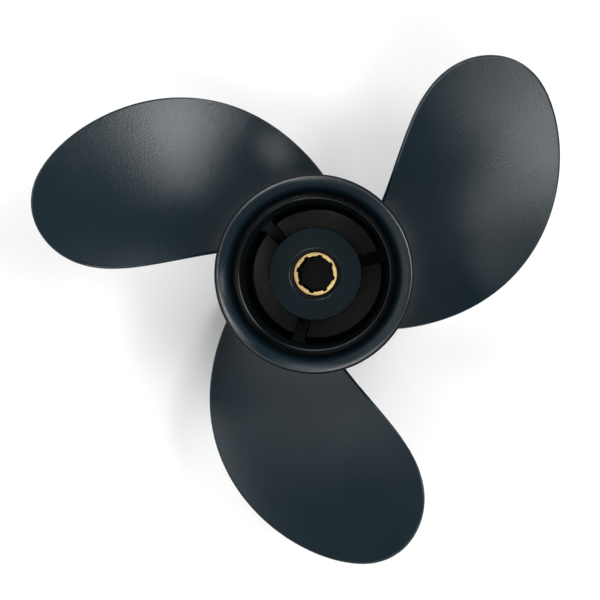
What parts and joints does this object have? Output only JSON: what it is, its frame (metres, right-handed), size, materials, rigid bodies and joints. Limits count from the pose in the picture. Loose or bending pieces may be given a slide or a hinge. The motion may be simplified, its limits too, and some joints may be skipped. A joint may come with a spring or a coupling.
{
  "type": "outboard motor propeller",
  "caption": "Cast aluminium outboard motor propeller with raked right-hand blades, a flared exhaust barrel, and a splined brass sleeve in a rubber bushing.",
  "frame": {"origin": "on the shaft axis in the blades' reference plane, 46 mm above the front rim and within 1 mm of the centre of mass", "axes": "+Z along the shaft axis towards the aft (flared) end; +X through the first rib; the propeller stands on its front rim"},
  "size_m": [0.2113, 0.2047, 0.096],
  "materials": {
    "black_paint": "satin black paint over cast aluminium",
    "black_rubber": "matt moulded rubber",
    "brass": "machined and broached brass"
  },
  "bodies": {
    "root": {"propeller_casting": "black_paint", "rubber_bushing": "black_rubber", "spline_sleeve": "brass"}
  },
  "joints": []
}
